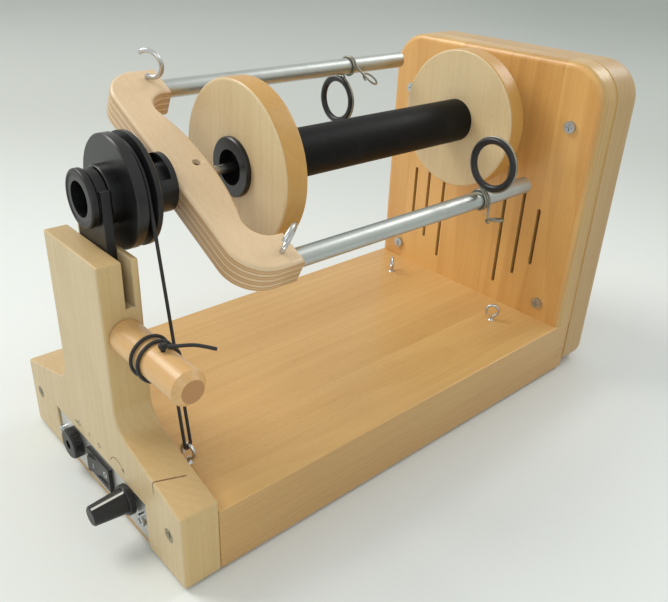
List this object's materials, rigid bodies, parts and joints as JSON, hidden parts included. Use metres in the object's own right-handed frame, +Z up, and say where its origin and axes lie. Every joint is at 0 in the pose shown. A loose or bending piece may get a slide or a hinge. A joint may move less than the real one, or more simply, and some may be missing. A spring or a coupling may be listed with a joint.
{
  "type": "electric yarn spinner",
  "caption": "Wooden electric yarn spinner: motor tower, driven bobbin, flyer with sliding guides, and a cord brake with a turning peg on the front post.",
  "frame": {"origin": "middle of the footprint, on the surface that the feet rest on", "axes": "+X to the machine's right as its user faces it, +Y from the front post to the motor tower along the spinning axis, +Z up"},
  "size_m": [0.2036, 0.4296, 0.2621],
  "materials": {
    "beech": "satin lacquer",
    "pale_beech": "satin lacquer",
    "warm_beech": "satin lacquer",
    "plywood": "satin lacquer",
    "black_plastic": "satin",
    "dark_plastic": "satin",
    "steel": "bright",
    "chrome": "polished",
    "aluminium": "satin",
    "plate": "satin",
    "rubber": "matt",
    "hardboard": "plain",
    "circuit_board": "matt",
    "cord": "waxed",
    "belt": "matt"
  },
  "bodies": {
    "frame": {"base_board": "beech", "base_cover": "hardboard", "front_board": "pale_beech", "front_ear_left": "pale_beech", "front_ear_right": "pale_beech", "front_board_screws": "steel", "rubber_feet": "rubber", "control_plate": "plate", "control_plate_screws": "steel", "pedal_jack": "black_plastic", "switch_bezel": "black_plastic", "speed_potentiometer": "dark_plastic", "bearing_holder": "black_plastic", "front_bush": "dark_plastic", "brake_hooks": "chrome", "base_hooks": "chrome", "brake_cord": "cord", "tower_panel": "warm_beech", "panel_screws": "steel", "tower_cover": "beech", "power_inlet": "black_plastic", "rear_housing": "black_plastic", "housing_screws": "steel", "rear_bearings": "steel", "drive_belt": "belt", "motor_plate": "aluminium", "plate_screws": "steel", "motor": "aluminium", "control_board": "circuit_board"},
    "flyer": {"orifice_tube": "black_plastic", "brake_pulley": "black_plastic", "hub_collar": "black_plastic", "flyer_arm": "plywood", "set_screw": "steel", "flyer_shaft": "steel", "rod_upper": "aluminium", "rod_lower": "aluminium", "arm_hooks": "chrome"},
    "upper_guide": {"guide_clip_upper": "steel", "guide_ring_upper": "black_plastic"},
    "lower_guide": {"guide_clip_lower": "steel", "guide_ring_lower": "black_plastic"},
    "bobbin": {"flange_front": "beech", "flange_rear": "beech", "bobbin_core": "black_plastic", "bobbin_bush_front": "black_plastic", "bobbin_bush_rear": "black_plastic", "drive_spindle": "steel", "drive_dog": "black_plastic", "driven_pulley": "aluminium"},
    "motor_rotor": {"motor_shaft": "steel", "motor_pulley": "aluminium"},
    "speed_dial": {"control_shaft": "steel", "speed_knob": "black_plastic"},
    "rocker": {"power_rocker": "dark_plastic"},
    "peg": {"tension_dowel": "warm_beech", "dowel_winding": "cord", "cord_knot": "cord"}
  },
  "joints": [
    {"name": "flyer_spin", "type": "hinge", "parent": "frame", "child": "flyer", "pos_m": [0, -0.11025, 0.1995], "axis": [0, 1, 0], "continuous": true},
    {"name": "bobbin_spin", "type": "hinge", "parent": "frame", "child": "bobbin", "pos_m": [0, 0.02975, 0.1995], "axis": [0, 1, 0], "continuous": true},
    {"name": "motor_spin", "type": "hinge", "parent": "frame", "child": "motor_rotor", "pos_m": [0, 0.19975, 0.114], "axis": [0, 1, 0], "continuous": true},
    {"name": "upper_guide_slide", "type": "slide", "parent": "flyer", "child": "upper_guide", "axis": [0, 1, 0], "range_m": [-0.128, 0.046]},
    {"name": "lower_guide_slide", "type": "slide", "parent": "flyer", "child": "lower_guide", "axis": [0, 1, 0], "range_m": [-0.131, 0.043]},
    {"name": "speed_turn", "type": "hinge", "parent": "frame", "child": "speed_dial", "pos_m": [0.0406, -0.20025, 0.0264], "axis": [0, 1, 0], "range_deg": [-150, 150]},
    {"name": "rocker_tilt", "type": "hinge", "parent": "frame", "child": "rocker", "pos_m": [0.001, -0.18625, 0.0217], "axis": [0, 0, 1], "range_deg": [-18, 0]},
    {"name": "peg_turn", "type": "hinge", "parent": "frame", "child": "peg", "pos_m": [0.06, -0.17775, 0.1306], "axis": [1, 0, 0], "range_deg": [-60, 60]}
  ],
  "couplings": [
    {"joint": "motor_spin", "follows": "bobbin_spin", "ratio": 2.4}
  ]
}
